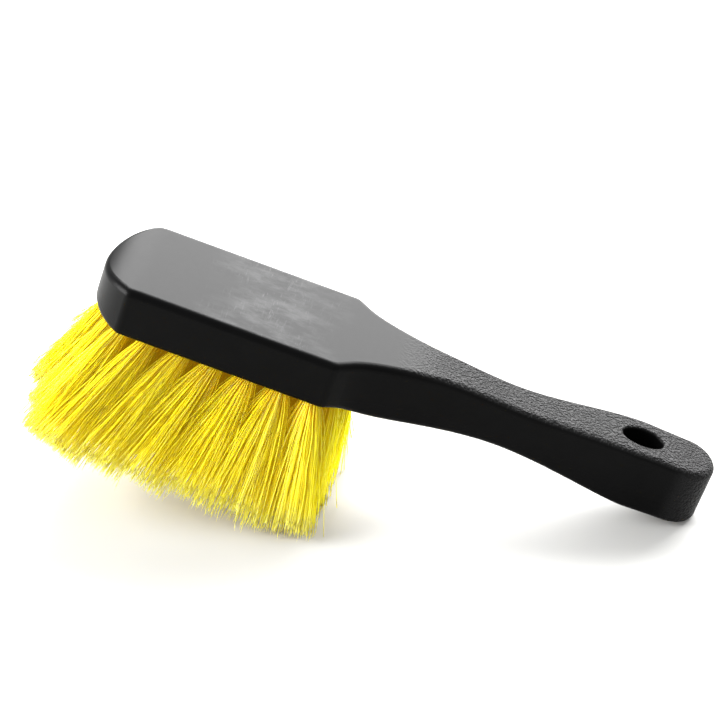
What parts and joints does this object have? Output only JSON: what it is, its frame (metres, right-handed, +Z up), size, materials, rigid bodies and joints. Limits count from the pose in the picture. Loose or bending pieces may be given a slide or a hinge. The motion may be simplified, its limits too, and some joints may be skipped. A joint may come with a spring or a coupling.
{
  "type": "wheel brush",
  "caption": "Short-handled wheel brush: black moulded block and handle in one, with fanned yellow bristle tufts and a hang hole, lying at rest.",
  "frame": {"origin": "centre of the part's box, on the table that it lies on: the heel's bristle tips and the handle's end touch z = 0", "axes": "+X from the nose of the head to the end of the handle, level; +Y across the head; +Z up. The brush is stored as it lies, nose up by 17.5 degrees."},
  "size_m": [0.2988, 0.1178, 0.1026],
  "materials": {
    "black_foam_plastic": "satin",
    "yellow_bristle": "satin",
    "anchor_wire": "satin"
  },
  "bodies": {
    "root": {"block_and_handle": "black_foam_plastic", "tuft_01": "yellow_bristle", "tuft_02": "yellow_bristle", "tuft_03": "yellow_bristle", "tuft_04": "yellow_bristle", "tuft_05": "yellow_bristle", "tuft_06": "yellow_bristle", "tuft_07": "yellow_bristle", "tuft_08": "yellow_bristle", "tuft_09": "yellow_bristle", "tuft_10": "yellow_bristle", "tuft_11": "yellow_bristle", "tuft_12": "yellow_bristle", "tuft_13": "yellow_bristle", "tuft_14": "yellow_bristle", "tuft_15": "yellow_bristle", "tuft_16": "yellow_bristle", "tuft_17": "yellow_bristle", "tuft_18": "yellow_bristle", "tuft_19": "yellow_bristle", "tuft_20": "yellow_bristle", "tuft_21": "yellow_bristle", "tuft_22": "yellow_bristle", "tuft_23": "yellow_bristle", "tuft_24": "yellow_bristle", "tuft_25": "yellow_bristle", "tuft_26": "yellow_bristle", "tuft_27": "yellow_bristle", "tuft_28": "yellow_bristle", "tuft_29": "yellow_bristle", "tuft_30": "yellow_bristle", "tuft_31": "yellow_bristle", "tuft_32": "yellow_bristle", "tuft_33": "yellow_bristle", "tuft_34": "yellow_bristle", "tuft_35": "yellow_bristle", "tuft_36": "yellow_bristle", "tuft_37": "yellow_bristle", "tuft_38": "yellow_bristle", "tuft_39": "yellow_bristle", "tuft_anchors": "anchor_wire"}
  },
  "joints": []
}
